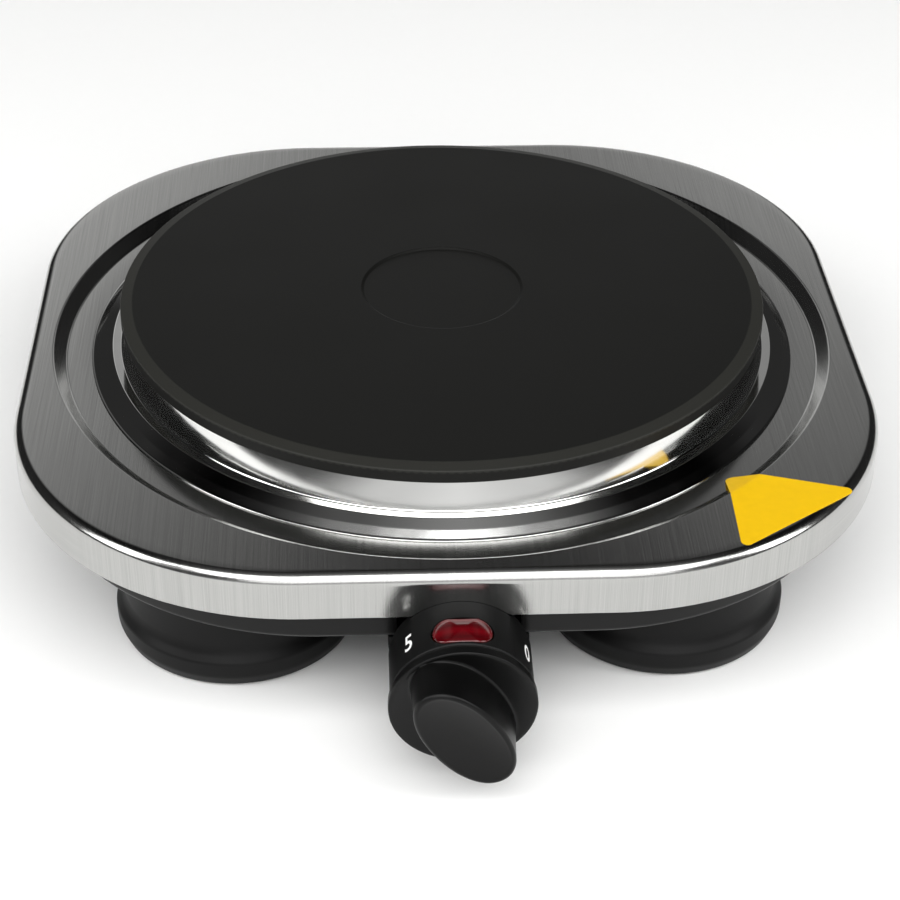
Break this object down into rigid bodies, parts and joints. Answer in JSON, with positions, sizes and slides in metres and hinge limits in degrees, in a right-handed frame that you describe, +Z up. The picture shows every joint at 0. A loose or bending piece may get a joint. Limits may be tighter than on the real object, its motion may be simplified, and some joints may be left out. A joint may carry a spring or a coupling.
{
  "type": "hot plate burner",
  "caption": "Free-standing electric hot plate: round cast-iron plate in a polished ring on a brushed rounded-square shell, with a thermostat knob at the front.",
  "frame": {"origin": "on the standing surface, under the centre of the bounding box; the hot plate's axis is 15.25 mm behind it", "axes": "+Z up, -Y towards the front with the control knob, +X to the right seen from the front"},
  "size_m": [0.239, 0.2694, 0.065],
  "materials": {
    "cast_iron": "black heat-resistant coating, satin",
    "coil_steel": "oxidised resistance wire",
    "cement": "matte ceramic cement",
    "zinc_steel": "zinc plated",
    "steatite": "unglazed electrical ceramic",
    "aluminised_steel": "bright aluminised sheet",
    "polished_steel": "mirror polished stainless steel",
    "brushed_steel": "straight-grain brushed stainless steel",
    "sticker_film": "yellow printed film, satin",
    "black_paint": "black enamel paint",
    "rubber": "matte rubber",
    "black_plastic": "satin moulded plastic",
    "foot_plastic": "satin moulded plastic",
    "knob_plastic": "satin moulded plastic",
    "red_lens": "clear red moulded lens",
    "lamp_glass": "clear glass",
    "brass": "turned brass",
    "spring_steel": "blued spring steel",
    "brown_wire": "silicone sleeve",
    "blue_wire": "silicone sleeve",
    "white_wire": "braided glass sleeve",
    "earth_wire_sleeve": "green and yellow sleeve"
  },
  "bodies": {
    "root": {"base_pan": "black_paint", "bezel_screws": "zinc_steel", "blank_sticker": "sticker_film", "bracket_screws": "zinc_steel", "centre_stud": "zinc_steel", "clamp_bar": "zinc_steel", "coil_cement": "cement", "control_bezel": "black_plastic", "control_housing": "black_plastic", "cord_gland": "black_plastic", "earth_screw": "zinc_steel", "earth_wire": "earth_wire_sleeve", "foot_front_left": "foot_plastic", "foot_front_right": "foot_plastic", "foot_nuts": "zinc_steel", "foot_pads": "rubber", "foot_rear_left": "foot_plastic", "foot_rear_right": "foot_plastic", "foot_screws": "zinc_steel", "fuse_clip": "zinc_steel", "gland_nut": "black_plastic", "heat_shield": "aluminised_steel", "heater_wire": "white_wire", "heating_coils": "coil_steel", "hot_plate": "cast_iron", "housing_screws": "zinc_steel", "indicator_lens": "red_lens", "lamp_wires": "white_wire", "live_wire": "brown_wire", "neon_lamp": "lamp_glass", "neutral_wire": "blue_wire", "plate_cover": "zinc_steel", "shell_brackets": "zinc_steel", "shell_screws": "zinc_steel", "stud_nut": "zinc_steel", "stud_spacer": "zinc_steel", "stud_washer": "zinc_steel", "terminal_block": "steatite", "terminal_bushes": "steatite", "terminal_screws": "zinc_steel", "thermal_fuse": "lamp_glass", "thermostat_blade": "brass", "thermostat_body": "steatite", "thermostat_bracket": "zinc_steel", "thermostat_bush": "brass", "thermostat_nut": "brass", "thermostat_tabs": "brass", "thermostat_wire": "white_wire", "top_shell": "brushed_steel", "trim_ring": "polished_steel"},
    "knob": {"thermostat_shaft": "zinc_steel", "knob_clip": "spring_steel", "knob": "knob_plastic"}
  },
  "joints": [
    {"name": "knob_turn", "type": "hinge", "parent": "root", "child": "knob", "pos_m": [0, -0.11865, 0.0242], "axis": [0, 0.9976, 0.0698], "range_deg": [-82, 167]}
  ]
}
